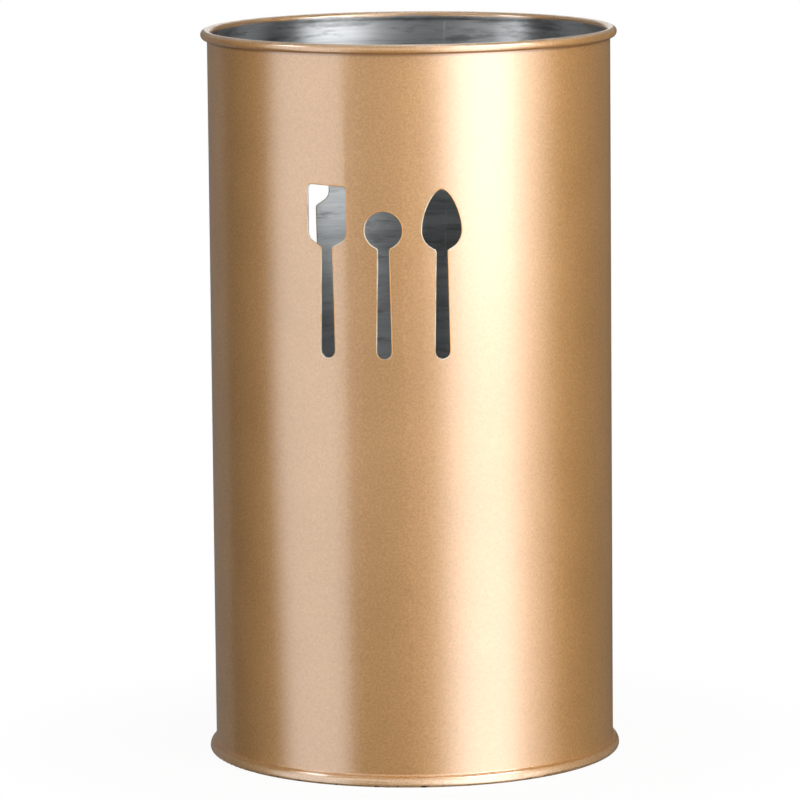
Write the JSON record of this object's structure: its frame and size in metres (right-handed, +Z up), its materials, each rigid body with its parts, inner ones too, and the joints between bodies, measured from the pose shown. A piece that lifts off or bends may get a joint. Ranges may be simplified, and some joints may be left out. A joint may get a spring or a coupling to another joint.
{
  "type": "cutlery holder",
  "caption": "Tall round metal can, open at the top, with a curled rim, a seamed foot and utensil shapes punched through its wall; stands upright and holds cutlery or kitchen tools.",
  "frame": {"origin": "centre of the foot on the ground, where the can's axis meets the plane of its base seam", "axes": "+Z up along the can's axis, -Y out through the middle of the front group of pictures, +X to the right of someone facing them"},
  "size_m": [0.1024, 0.1024, 0.18],
  "materials": {
    "gold_paint": "metallic gold paint outside, bare tinplate inside",
    "gold_paint_base": "metallic gold paint on the seam, bare tinplate on the panel",
    "lining_compound": "dull rubber lining"
  },
  "bodies": {
    "root": {"body_shell": "gold_paint", "base_end": "gold_paint_base", "seam_compound": "lining_compound"}
  },
  "joints": []
}
